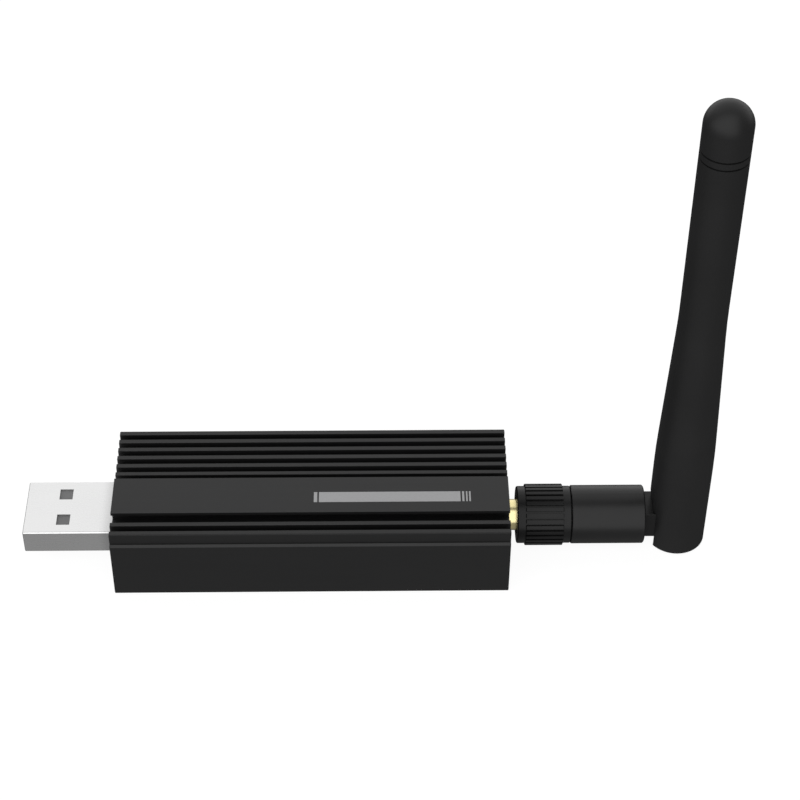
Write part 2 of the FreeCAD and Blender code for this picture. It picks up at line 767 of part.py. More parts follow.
rx, ry = S.bridge_x + 8.5, 3.5
pieces = [centred("regulator_case", rx, ry, BOARD_TOP, S.regulator_wide, S.regulator_long, S.regulator_high)]
for number, offset in enumerate((-2.3, 0.0, 2.3)):
    pieces.append(block("regulator_leg_%d" % number, rx - S.regulator_wide / 2 - S.leg_long, ry + offset - S.leg_wide / 2, BOARD_TOP,
                        S.leg_long + 0.1, S.leg_wide, S.leg_thick))
pieces.append(block("regulator_tab", rx + S.regulator_wide / 2 - 0.1, ry - S.leg_wide * 2, BOARD_TOP, S.leg_long + 0.1, S.leg_wide * 4, S.leg_thick))
keep(joined("Regulator", pieces), "voltage_regulator")


def push_switch(name, y):
    """A small push switch and its plunger, held in under the lip of the housing."""
    room_floor = 0.30
    gap = S.button_gap
    lip = S.switch_high - S.button_flange_thick
    body = new_body(name + "_switch_housing")
    sk = sketch(body, "outline", "XY", u=S.switch_x, v=y, out=BOARD_TOP)
    rectangle(sk, -S.switch_long / 2, S.switch_long / 2, -S.switch_wide / 2, S.switch_wide / 2)
    pad(body, "box", sk, S.switch_high)
    sk = sketch(body, "room", "XZ", u=S.switch_x, v=BOARD_TOP, out=-y)
    outline(sk, [(0.0, room_floor), (S.button_flange_radius + gap, room_floor), (S.button_flange_radius + gap, lip),
                 (S.button_radius + gap, lip), (S.button_radius + gap, S.switch_high + 0.5), (0.0, S.switch_high + 0.5)])
    turn(body, "Groove", "room_cut", sk, "V_Axis")
    body = new_body(name + "_button")
    base = room_floor + S.button_travel + gap
    sk = sketch(body, "profile", "XZ", u=S.switch_x, v=BOARD_TOP, out=-y)
    outline(sk, [(0.0, base), (S.button_flange_radius, base), (S.button_flange_radius, base + S.button_flange_thick),
                 (S.button_radius, base + S.button_flange_thick), (S.button_radius, S.switch_high + S.button_proud - 0.1),
                 (S.button_radius - 0.1, S.switch_high + S.button_proud), (0.0, S.switch_high + S.button_proud)])
    turn(body, "Revolution", "plunger", sk, "V_Axis")


push_switch("boot", -S.switch_y)
push_switch("reset", S.switch_y)

places = {
    "chip_capacitors": (S.capacitor_high, [(10.5, 7.8), (13.5, 7.8), (16.5, 7.8), (19.5, 7.8), (12.0, -7.8), (15.0, -7.8),
                                           (18.0, -7.8), (34.5, 2.5), (34.5, -2.5), (34.5, 5.5), (34.5, 0.0), (57.0, 4.5), (57.0, 0.0), (57.0, -4.5)]),
    "chip_resistors": (S.resistor_high, [(21.5, -7.2), (24.5, -7.2), (21.5, -4.6), (24.5, -4.6), (10.5, 1.8), (10.5, -1.0), (34.5, -5.5), (57.0, 2.2)]),
    "status_lights": (S.light_high, [(9.2, -8.2), (60.4, 7.5)]),
}
for label, (high, spots) in places.items():
    together(label, [centred("%s_%d" % (label, number), x, y, BOARD_TOP, S.chip_long, S.chip_wide, high)
                     for number, (x, y) in enumerate(spots, 1)])

# ---------------------------------------------------------------- antenna socket

jack = new_body("antenna_jack_body")
sk = sketch(jack, "block", "YZ", v=S.axis_height, out=S.jack_block_start)
rectangle(sk, -S.jack_block_half, S.jack_block_half, -S.jack_block_half, S.jack_block_half)
pad(jack, "block_pad", sk, S.jack_block_end - S.jack_block_start)
sk = sketch(jack, "legs", "YZ", v=S.axis_height, out=S.jack_leg_start)
for side in (1.0, -1.0):
    a, c = side * S.jack_block_half, side * (S.jack_block_half - S.jack_leg_wide)
    lo, hi = (c, a) if side > 0 else (a, c)
    top, under = BOARD_TOP - S.axis_height, S.board_bottom - S.axis_height
    rectangle(sk, lo, hi, top, top + S.jack_leg_thick)
    rectangle(sk, lo, hi, under - S.jack_leg_thick, under)
legs = pad(jack, "leg_pads", sk, S.jack_block_start - S.jack_leg_start + 0.3)
legs.AllowMultiFace = True
sk = sketch(jack, "barrel", "XZ", v=S.axis_height)
th = S.jack_thread_radius
outline(sk, [(S.jack_block_end - 0.5, 0.0), (S.jack_block_end - 0.5, S.jack_neck_radius), (S.jack_neck_end, S.jack_neck_radius),
             (S.jack_neck_end + 0.2, th), (S.jack_face - 0.25, th), (S.jack_face, th - 0.25), (S.jack_face, 0.0)])
turn(jack, "Revolution", "thread", sk, "H_Axis")
sk = sketch(jack, "bore", "XZ", v=S.axis_height)
outline(sk, [(S.jack_block_start - 1, 0.0), (S.jack_block_start - 1, S.line_radius), (S.jack_shoulder, S.line_radius),
             (S.jack_shoulder, S.jack_bore_radius), (S.jack_face + 1, S.jack_bore_radius), (S.jack_face + 1, 0.0)])
turn(jack, "Groove", "bore_cut", sk, "H_Axis")

dielectric = new_body("antenna_jack_insulator")
sk = sketch(dielectric, "profile", "XZ", v=S.axis_height)
outline(sk, [(S.jack_block_start, S.contact_radius + 0.005), (S.jack_block_start, S.line_radius - 0.005),
             (S.jack_shoulder, S.line_radius - 0.005), (S.jack_shoulder, S.contact_radius + 0.005)])
turn(dielectric, "Revolution", "tube", sk, "H_Axis")

contact = new_body("antenna_jack_contact")
sk = sketch(contact, "profile", "XZ", v=S.axis_height)
outline(sk, [(S.tail_start, 0.0), (S.tail_start, S.tail_radius), (S.jack_block_start, S.tail_radius),
             (S.jack_block_start, S.contact_radius), (S.jack_shoulder, S.contact_radius),
             (S.jack_shoulder, S.socket_radius), (S.socket_bottom, S.socket_radius), (S.socket_bottom, 0.0)])
turn(contact, "Revolution", "pin", sk, "H_Axis")

# ---------------------------------------------------------------- coupling nut

nut = new_body("coupling_nut_shell")
sk = sketch(nut, "profile", "XZ", v=S.axis_height)
nb, ri = S.nut_bevel, S.insert_radius + S.insert_gap
outline(sk, [
    (S.nut_face, S.nut_lip_radius), (S.nut_face, S.nut_radius - nb), (S.nut_face + nb, S.nut_radius),
    (S.rib_start, S.nut_radius), (S.rib_start + 0.03, S.rib_radius - 0.08), (S.rib_start + 0.10, S.rib_radius),
    (S.rib_end - 0.10, S.rib_radius), (S.rib_end - 0.03, S.rib_radius - 0.08), (S.rib_end, S.nut_radius), (S.nut_back - nb, S.nut_radius), (S.nut_back, S.nut_radius - nb),
    (S.nut_back, S.nut_rear_radius), (S.insert_end, S.nut_rear_radius), (S.insert_end, ri),
    (S.insert_start, ri), (S.insert_start, S.nut_lip_radius),
])
turn(nut, "Revolution", "sleeve", sk, "H_Axis")
sk = sketch(nut, "rib_gap", "YZ", v=S.axis_height, out=S.rib_start)
gt, gf = S.rib_gap_top, S.rib_gap_floor
outline(sk, [(-gt, -S.rib_radius - 0.05), (gt, -S.rib_radius - 0.05), (gf, -S.rib_floor_radius), (-gf, -S.rib_floor_radius)])
gap = pocket(nut, "rib_gap_cut", sk, S.rib_end - S.rib_start)
around(nut, "ribs", gap, sk, S.rib_count)

insert = new_body("coupling_nut_insert")
sk = sketch(insert, "profile", "XZ", v=S.axis_height)
ra, rb = S.ring_start - S.ring_side_gap, S.ring_end + S.ring_side_gap
outline(sk, [
    (S.insert_start, S.nut_thread_radius + 0.15), (S.insert_start, S.insert_radius), (S.insert_end, S.insert_radius),
    (S.insert_end, S.nut_inner_radius), (rb, S.nut_inner_radius), (rb, S.ring_outer_radius + 0.1),
    (ra, S.ring_outer_radius + 0.1), (ra, S.nut_inner_radius), (S.nut_step, S.nut_inner_radius),
    (S.nut_step, S.nut_thread_radius), (S.insert_start + 0.15, S.nut_thread_radius),
])
turn(insert, "Revolution", "sleeve", sk, "H_Axis")

# ---------------------------------------------------------------- antenna's own plug

stem = new_body("antenna_plug_body")
sk = sketch(stem, "profile", "XZ", v=S.axis_height)
outline(sk, [
    (S.ferrule_start, S.line_radius), (S.ferrule_start, S.ferrule_radius - 0.1), (S.ferrule_start + 0.1, S.ferrule_radius),
    (S.collar_start, S.ferrule_radius), (S.collar_start, S.collar_radius), (S.collar_end, S.collar_radius),
    (S.collar_end, S.stem_radius), (ra, S.stem_radius), (ra, S.stem_groove_radius), (rb, S.stem_groove_radius),
    (rb, S.stem_radius), (S.catch_start - S.catch_side_gap, S.stem_radius),
    (S.catch_start - S.catch_side_gap, S.stem_groove_radius), (S.catch_end + S.catch_side_gap, S.stem_groove_radius),
    (S.catch_end + S.catch_side_gap, S.stem_radius), (S.stem_end - 0.2, S.stem_radius), (S.stem_end, S.stem_radius - 0.2),
    (S.stem_end, S.coax_radius + 0.05), (S.insulator_end, S.coax_radius + 0.05), (S.insulator_end, S.line_radius),
])
turn(stem, "Revolution", "stem", sk, "H_Axis")

plug_insulator = new_body("antenna_plug_insulator")
sk = sketch(plug_insulator, "profile", "XZ", v=S.axis_height)
outline(sk, [(S.ferrule_start, S.pin_radius + 0.005), (S.ferrule_start, S.line_radius - 0.005),
             (S.insulator_end, S.line_radius - 0.005), (S.insulator_end, S.pin_radius + 0.005)])
turn(plug_insulator, "Revolution", "tube", sk, "H_Axis")

pin = new_body("antenna_plug_pin")
sk = sketch(pin, "profile", "XZ", v=S.axis_height)
outline(sk, [(S.pin_tip, 0.0), (S.pin_tip, S.pin_radius - 0.25), (S.pin_tip + 0.5, S.pin_radius),
             (S.insulator_end, S.pin_radius), (S.insulator_end, 0.0)])
turn(pin, "Revolution", "rod", sk, "H_Axis")

ring = new_body("nut_snap_ring")
sk = sketch(ring, "section", "XZ", v=S.axis_height)
outline(sk, [(S.ring_start, S.ring_inner_radius), (S.ring_start, S.ring_outer_radius),
             (S.ring_end, S.ring_outer_radius), (S.ring_end, S.ring_inner_radius)])
turn(ring, "Revolution", "hoop", sk, "H_Axis")
sk = sketch(ring, "split", "YZ", v=S.axis_height, out=S.ring_start)
rectangle(sk, -S.ring_slot / 2, S.ring_slot / 2, S.ring_inner_radius - 0.6, S.ring_outer_radius + 0.5)
pocket(ring, "split_cut", sk, S.ring_end - S.ring_start)

# ---------------------------------------------------------------- barrel and its tongue

barrel = new_body("knuckle_barrel")
sk = sketch(barrel, "tongue", "XZ", v=S.axis_height)
kr = S.knuckle_radius
root = S.barrel_bore_end + 1.4
outline(sk, [(root, -kr), (S.hinge_x, -kr, S.hinge_x, 0.0, 1, "u"), (S.hinge_x, kr), (root, kr)])
tongue = pad(barrel, "tongue_pad", sk, S.tongue_half_thick * 2, both=True)
edges = find_edges(tongue, lambda c, d, bb, e: bb.YLength < 1e-3 and c.x > root.value + 0.5)
dress(barrel, "Fillet", "tongue_edges", tongue, edges, S.knuckle_edge)
sk = sketch(barrel, "profile", "XZ", v=S.axis_height)
bv, be = S.barrel_bevel, S.barrel_end_bevel
outline(sk, [
    (S.barrel_start, S.barrel_bore_radius), (S.barrel_start, S.barrel_radius - bv), (S.barrel_start + bv, S.barrel_radius),
    (S.barrel_end - be, S.barrel_radius), (S.barrel_end, S.barrel_radius - be), (S.barrel_end, 0.0),
    (S.barrel_bore_end, 0.0), (S.barrel_bore_end, S.barrel_bore_radius),
    (S.catch_end, S.barrel_bore_radius), (S.catch_end, S.catch_radius), (S.catch_start, S.catch_radius),
    (S.catch_start, S.barrel_bore_radius),
])
turn(barrel, "Revolution", "barrel", sk, "H_Axis")
# room in the end of the barrel for the corners of the fork as it swings
sk = sketch(barrel, "swing", "XZ", u=S.hinge_x, v=S.axis_height, out=S.tongue_half_thick)
circle(sk, 0.0, 0.0, S.swing_radius)
swing = pocket(barrel, "swing_cut", sk, S.swing_half_width - S.tongue_half_thick)
mirrored(barrel, "swing_pair", swing, "XZ")
# the way for the cable: a bore, then a slot open upwards and forwards
sk = sketch(barrel, "cable_bore", "YZ", v=S.axis_height, out=S.barrel_bore_end - 0.5)
circle(sk, 0.0, 0.0, S.cable_slot_half)
pocket(barrel, "cable_bore_cut", sk, S.cable_slot_start - S.barrel_bore_end + 1.0)
sk = sketch(barrel, "cable_slot", "XZ", v=S.axis_height)
rectangle(sk, S.cable_slot_start, S.hinge_x + kr + 1, -S.cable_slot_half, kr + 1)
pocket(barrel, "cable_slot_cut", sk, S.cable_slot_half * 2, both=True)
sk = sketch(barrel, "pin_hole", "XZ", u=S.hinge_x, v=S.axis_height)
circle(sk, 0.0, 0.0, S.pin_hole_radius)
pocket(barrel, "pin_hole_cut", sk, S.tongue_half_thick * 2 + 1, both=True)

# ---------------------------------------------------------------- whip


def knuckle_slot(body):
    """The slot that the tongue works in: open below and towards the barrel."""
    sk = sketch(body, "slot", "XZ", u=S.hinge_x, v=S.axis_height)
    rs = S.fork_slot_radius
    outline(sk, [(-7.0, -7.0), (rs, -7.0), (rs, 0.0, 0.0, 0.0, 1, "u"), (0.0, rs), (-7.0, rs)])
    pocket(body, "slot_cut", sk, S.fork_slot_half * 2, both=True)


fork = new_body("hinge_fork")
sk = sketch(fork, "profile", "XZ", u=S.hinge_x, v=S.axis_height)
outline(sk, [(0.0, -S.fork_bottom), (S.fork_radius, -S.fork_bottom), (S.fork_radius, S.fork_top), (0.0, S.fork_top)])
turn(fork, "Revolution", "plug", sk, "V_Axis")
knuckle_slot(fork)
sk = sketch(fork, "cable_bore", "XY", u=S.hinge_x, out=S.axis_height)
circle(sk, 0.0, 0.0, S.fork_bore_radius)
pocket(fork, "cable_bore_cut", sk, S.fork_top + 1)
sk = sketch(fork, "pin_hole", "XZ", u=S.hinge_x, v=S.axis_height)
circle(sk, 0.0, 0.0, S.hinge_pin_radius + S.hinge_pin_fit)
pocket(fork, "pin_hole_cut", sk, S.fork_radius * 2 + 1, both=True)

hinge_pins = []
for number, y in enumerate((S.hinge_pin_inner, -S.hinge_pin_outer)):
    hinge_pins.append(rod("hinge_pin_%d" % number, S.hinge_x, y, S.axis_height, S.hinge_pin_radius,
                          S.hinge_pin_outer - S.hinge_pin_inner, TO_Y))
together("hinge_pins", hinge_pins)

whip = new_body("whip_sleeve")
sk = sketch(whip, "profile", "XZ", u=S.hinge_x, v=S.axis_height)
rw, rt, wb, tb = S.whip_radius, S.tip_radius, S.whip_bevel, S.taper_blend
slope = (rw - rt) / (S.taper_end - S.taper_start)
gh, gd = S.ring_groove_half, S.ring_groove_deep
ri = S.fork_radius + S.fork_fit
points = [
    (ri, -S.whip_bottom), (rw - wb, -S.whip_bottom), (rw, -S.whip_bottom + wb),
    (rw, S.taper_start - tb), (rw - slope * tb * 0.25, S.taper_start), (rw - slope * tb, S.taper_start + tb),
    (rt + slope * tb, S.taper_end - tb), (rt + slope * tb * 0.25, S.taper_end), (rt, S.taper_end + tb),
]
for centre in (S.ring_low, S.ring_high):
    points += [(rt, centre - gh), (rt - gd, centre - gh * 0.8), (rt - gd, centre + gh * 0.8), (rt, centre + gh)]
points += [
    (rt, S.tip_centre, 0.0, S.tip_centre, 1, "u"), (0.0, S.tip_centre + rt), (0.0, S.wire_end + 1.0),
    (S.wire_room_radius, S.wire_end + 1.0), (S.wire_room_radius, S.tube_room_end),
    (S.tube_room_radius, S.tube_room_end), (S.tube_room_radius, S.fork_top + 0.05), (ri, S.fork_top + 0.05),
]
outline(sk, points)
turn(whip, "Revolution", "skin", sk, "V_Axis")
knuckle_slot(whip)
# a flat on the side towards the barrel, over the slot
sk = sketch(whip, "relief", "XZ", u=S.hinge_x, v=S.axis_height)
rl, rs = S.relief_reach, S.fork_slot_radius
outline(sk, [(-6.0, rs), (-rl, rs), (-rl, S.relief_top), (-6.0, S.relief_top + 6.0 - rl)])
pocket(whip, "relief_cut", sk, 12.0, both=True)

tube = new_body("dipole_tube")
sk = sketch(tube, "profile", "XZ", u=S.hinge_x, v=S.axis_height)
outline(sk, [(S.tube_bore_radius, S.tube_start), (S.tube_radius, S.tube_start), (S.tube_radius, S.tube_end),
             (S.coax_radius + 0.015, S.tube_end), (S.coax_radius + 0.015, S.tube_end - S.tube_cap),
             (S.tube_bore_radius, S.tube_end - S.tube_cap)])
turn(tube, "Revolution", "sleeve", sk, "V_Axis")

keep(rod("Radiator", S.hinge_x, 0.0, S.axis_height + S.wire_start, S.wire_radius, S.wire_end - S.wire_start), "radiator_wire")

# the cable: straight from the plug, one bend at the knuckle, straight up the whip
coax = new_body("feed_coax")
sk = sketch(coax, "route", "XZ", v=S.axis_height)
x0, x1, x2 = S.insulator_end.value, (S.hinge_x - S.coax_bend).value, S.hinge_x.value
z1, z2 = S.coax_bend.value, S.wire_start.value
sk.addGeometry(Part.LineSegment(FreeCAD.Vector(x0, 0, 0), FreeCAD.Vector(x1, 0, 0)), False)
sk.addGeometry(Part.ArcOfCircle(Part.Circle(FreeCAD.Vector(x1, z1, 0), FreeCAD.Vector(0, 0, 1), z1), -math.pi / 2, 0.0), False)
sk.addGeometry(Part.LineSegment(FreeCAD.Vector(x2, z1, 0), FreeCAD.Vector(x2, z2, 0)), False)
held = [("DistanceX", 0, 1, S.insulator_end), ("DistanceY", 0, 1, dim(0.0)),
        ("DistanceX", 0, 2, S.hinge_x - S.coax_bend), ("DistanceY", 0, 2, dim(0.0)),
        ("DistanceX", 2, 1, S.hinge_x), ("DistanceY", 2, 1, S.coax_bend),
        ("DistanceX", 2, 2, S.hinge_x), ("DistanceY", 2, 2, S.wire_start),
        ("DistanceX", 1, 3, S.hinge_x - S.coax_bend)]
sk.addConstraint([Sketcher.Constraint("Coincident", 0, 2, 1, 1), Sketcher.Constraint("Coincident", 1, 2, 2, 1)])
for kind, line, end, value in held:
    number = sk.addConstraint(Sketcher.Constraint(kind, -1, 1, line, end, value.value))
    sk.setExpression("Constraints[%d]" % number, value.text)
route = sk
sk = sketch(coax, "section", "YZ", v=S.axis_height, out=S.insulator_end)
circle(sk, 0.0, 0.0, S.coax_radius)
pipe = coax.newObject("PartDesign::AdditivePipe", "feed_coax_pipe")
pipe.Profile = sk
pipe.Spine = (route, [])
pipe.Transition = "Transformed"

# ---------------------------------------------------------------- checks and output

doc.recompute()

problems = []
for obj in doc.Objects:
    if any(word in ("Invalid", "Error") for word in obj.State):
        problems.append("%s: %s" % (obj.Label, obj.State))
    if obj.TypeId in ("PartDesign::Pocket", "PartDesign::Groove", "PartDesign::Mirrored", "PartDesign::LinearPattern",
                      "PartDesign::PolarPattern", "PartDesign::Chamfer", "PartDesign::Fillet"):
        base = obj.BaseFeature
        before = base.Shape.Volume if base and not base.Shape.isNull() else 0.0
        if obj.Shape.isNull() or abs(obj.Shape.Volume - before) < 1e-5:
            problems.append("%s changes nothing" % obj.Label)
labels = [obj.Label for obj in PARTS]
if len(set(labels)) != len(labels):
    problems.append("two pieces share a name")
for obj in PARTS:
    if obj.Shape.isNull() or not obj.Shape.isValid() or not obj.Shape.Solids:
        problems.append("%s has no valid shape" % obj.Label)
if problems:
    raise RuntimeError("; ".join(problems))

os.makedirs("parts", exist_ok=True)
for obj in PARTS:
    obj.Shape.exportStep(os.path.join("parts", obj.Label + ".step"))
    bb = obj.Shape.BoundBox
    print("%-24s %2d solid(s) %9.3f mm3  x %.2f..%.2f  y %.2f..%.2f  z %.2f..%.2f" % (
        obj.Label, len(obj.Shape.Solids), obj.Shape.Volume, bb.XMin, bb.XMax, bb.YMin, bb.YMax, bb.ZMin, bb.ZMax))
length = (S.hinge_x - S.coax_bend - S.insulator_end + S.coax_bend * (math.pi / 2) + S.wire_start - S.coax_bend).value
print("cable %.2f mm long, bend radius %.2f mm, volume over section %.3f" % (
    length, S.coax_bend.value, coax.Shape.Volume / (math.pi * S.coax_radius.value ** 2)))
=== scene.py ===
import math

import bmesh
import bpy
import numpy as np
from mathutils import Matrix, Vector


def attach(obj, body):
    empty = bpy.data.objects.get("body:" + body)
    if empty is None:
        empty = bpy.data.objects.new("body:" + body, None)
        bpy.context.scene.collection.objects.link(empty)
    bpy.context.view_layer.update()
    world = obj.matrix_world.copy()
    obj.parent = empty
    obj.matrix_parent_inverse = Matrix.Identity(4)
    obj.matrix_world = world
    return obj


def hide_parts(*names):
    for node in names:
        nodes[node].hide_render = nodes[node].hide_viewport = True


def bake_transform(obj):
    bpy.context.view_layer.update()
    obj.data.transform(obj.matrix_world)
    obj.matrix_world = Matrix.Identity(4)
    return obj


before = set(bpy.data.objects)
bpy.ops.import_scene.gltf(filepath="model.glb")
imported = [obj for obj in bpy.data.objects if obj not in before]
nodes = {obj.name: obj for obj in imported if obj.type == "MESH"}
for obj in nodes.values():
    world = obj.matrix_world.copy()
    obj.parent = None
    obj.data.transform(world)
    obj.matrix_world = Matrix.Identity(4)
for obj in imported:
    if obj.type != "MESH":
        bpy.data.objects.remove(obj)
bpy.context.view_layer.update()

MM = 0.001
SHIFT = 42.3975          # the row frame's x is the design's x less this, in mm


def at(x, y, z):
    """A point given in the design's millimetres, in the row frame in metres."""
    return Vector(((x - SHIFT) * MM, y * MM, z * MM))


# ---------------------------------------------------------------- camera

def make_camera():
    elev, azim, roll = math.radians(43.235), math.radians(-1.075), math.radians(0.416)
    target, distance = at(48.315, 27.106, 6.75), 388.822 * MM
    back = Vector((math.sin(azim) * math.cos(elev), -math.cos(azim) * math.cos(elev), math.sin(elev)))
    right = (-back).cross(Vector((0, 0, 1))).normalized()
    up = right.cross(-back)
    r2 = right * math.cos(roll) + up * math.sin(roll)
    u2 = -right * math.sin(roll) + up * math.cos(roll)
    cam = bpy.data.objects.new("Camera", bpy.data.cameras.new("Camera"))
    bpy.context.scene.collection.objects.link(cam)
    m = Matrix((r2, u2, back)).transposed().to_4x4()
    m.translation = target + back * distance
    cam.matrix_world = m
    cam.data.sensor_width = 36.0
    cam.data.sensor_fit = "HORIZONTAL"
    cam.data.lens = 2168.759 / 800 * 36
    cam.data.clip_start, cam.data.clip_end = 0.01, 50
    bpy.context.scene.camera = cam
    return cam


camera = make_camera()


# ---------------------------------------------------------------- light and floor

def make_light():
    """A plain studio round the object, as the world: a large soft box in front and to the left, another behind,
    grey between them and a dim room below, darker behind. The directions are the world's own."""
    world = bpy.data.worlds.new("Studio")
    bpy.context.scene.world = world
    world.use_nodes = True
    t = world.node_tree
    t.nodes.clear()

    def math_node(op, *values):
        n = t.nodes.new("ShaderNodeMath")
        n.operation = op
        for i, v in enumerate(values):
            if isinstance(v, bpy.types.NodeSocket):
                t.links.new(v, n.inputs[i])
            else:
                n.inputs[i].default_value = v
        return n.outputs[0]

    def step(value, low, high):
        """0 below low degrees and 1 above high, smooth between."""
        n = t.nodes.new("ShaderNodeMapRange")
        n.interpolation_type = "SMOOTHSTEP"
        n.clamp = True
        t.links.new(value, n.inputs["Value"])
        n.inputs["From Min"].default_value = math.radians(low)
        n.inputs["From Max"].default_value = math.radians(high)
        return n.outputs["Result"]

    def box(rise_low, rise_high, side_low, side_high, soft, soft_side):
        inside = math_node("MULTIPLY", step(rise, rise_low - soft, rise_low + soft),
                           math_node("SUBTRACT", 1.0, step(rise, rise_high - soft, rise_high + soft)))
        inside = math_node("MULTIPLY", inside, step(side, side_low - soft_side, side_low + soft_side))
        return math_node("MULTIPLY", inside,
                         math_node("SUBTRACT", 1.0, step(side, side_high - soft_side, side_high + soft_side)))

    coord = t.nodes.new("ShaderNodeTexCoord")
    axes = t.nodes.new("ShaderNodeSeparateXYZ")
    t.links.new(coord.outputs["Generated"], axes.inputs[0])
    x, y, z = axes.outputs
    # rise: 0 in front at the horizon, 90 overhead, 180 behind; side: from -90 at the left to 90 at the right
    front = math_node("MULTIPLY", y, -1.0)
    rise = math_node("ARCTAN2", z, front)
    wrapped = math_node("LESS_THAN", rise, math.radians(-100))
    rise = math_node("ADD", rise, math_node("MULTIPLY", wrapped, 2 * math.pi))
    side = math_node("ARCSINE", x)
    total = math_node("MULTIPLY", box(*FRONT_BOX), FRONT_LIGHT)
    total = math_node("ADD", total, math_node("MULTIPLY", box(*BACK_BOX), BACK_LIGHT))
    total = math_node("ADD", total, math_node("MULTIPLY", box(*BACK_FOOT), BACK_FOOT_LIGHT))
    dim = math_node("ADD", ROOM_LOW, math_node("MULTIPLY", step(front, *[math.degrees(v) for v in (-0.55, 0.45)]),
                                               ROOM_FRONT - ROOM_LOW))
    up = step(z, *[math.degrees(v) for v in (-0.25, 0.2)])
    dim = math_node("ADD", math_node("MULTIPLY", dim, math_node("SUBTRACT", 1.0, up)),
                    math_node("MULTIPLY", up, ROOM_HIGH))
    total = math_node("ADD", total, dim)
    background = t.nodes.new("ShaderNodeBackground")
    background.inputs["Color"].default_value = (1, 1, 1, 1)
    t.links.new(total, background.inputs["Strength"])
    out = t.nodes.new("ShaderNodeOutputWorld")
    t.links.new(background.outputs[0], out.inputs["Surface"])
    bpy.context.scene.view_settings.view_transform = "Standard"
    bpy.context.scene.view_settings.look = "None"


# rise from and to, side from and to, softness of the edges, all in degrees
FRONT_BOX = (-15, 77, -104, 31, 5, 12)
FRONT_LIGHT = 1.35
BACK_BOX = (101, 192, -50, 78, 6, 14)
BACK_LIGHT = 0.84
BACK_FOOT = (152, 196, -50, 78, 6, 14)      # the same box is brighter towards its foot
BACK_FOOT_LIGHT = 0.14
ROOM_FRONT, ROOM_LOW, ROOM_HIGH = 0.27, 0.07, 0.22


def stage_material(name, glow, shade):
    m = bpy.data.materials.new(name)
    m.use_nodes = True
    t = m.node_tree
    t.nodes.clear()
    out = t.nodes.new("ShaderNodeOutputMaterial")
    add = t.nodes.new("ShaderNodeAddShader")
    glow_node = t.nodes.new("ShaderNodeEmission")
    glow_node.inputs["Color"].default_value = (1, 1, 1, 1)
    glow_node.inputs["Strength"].default_value = glow
    diffuse = t.nodes.new("ShaderNodeBsdfDiffuse")
    diffuse.inputs["Color"].default_value = (shade, shade, shade, 1)
    clear = t.nodes.new("ShaderNodeBsdfTransparent")
    face = t.nodes.new("ShaderNodeNewGeometry")
    mix = t.nodes.new("ShaderNodeMixShader")
    t.links.new(glow_node.outputs[0], add.inputs[0])
    t.links.new(diffuse.outputs[0], add.inputs[1])
    t.links.new(face.outputs["Backfacing"], mix.inputs[0])
    t.links.new(add.outputs[0], mix.inputs[1])
    t.links.new(clear.outputs[0], mix.inputs[2])
    t.links.new(mix.outputs[0], out.inputs["Surface"])
    return m


def make_stage():
    """A pale floor, and round it a pale dome as backdrop. The camera sees them, and reflections don't."""
    bm = bmesh.new()
    bmesh.ops.create_circle(bm, cap_ends=True, segments=96, radius=6.0)
    me = bpy.data.meshes.new("Floor")
    bm.to_mesh(me)
    bm.free()
    floor = bpy.data.objects.new("Floor", me)
    me.materials.append(stage_material("Floor_pale", 0.93, 0.12))
    floor.location.z = -0.00002
    bm = bmesh.new()
    bmesh.ops.create_uvsphere(bm, u_segments=64, v_segments=32, radius=6.0)
    bmesh.ops.reverse_faces(bm, faces=bm.faces)
    me = bpy.data.meshes.new("Backdrop")
    bm.to_mesh(me)
    bm.free()
    dome = bpy.data.objects.new("Backdrop", me)
    me.materials.append(stage_material("Backdrop_pale", 1.0, 0.0))
    for o in (floor, dome):
        bpy.context.scene.collection.objects.link(o)
        o.visible_diffuse = False
        o.visible_glossy = False
        o.visible_transmission = False
        o.visible_volume_scatter = False
        o.visible_shadow = False


make_light()
make_stage()


# ---------------------------------------------------------------- materials

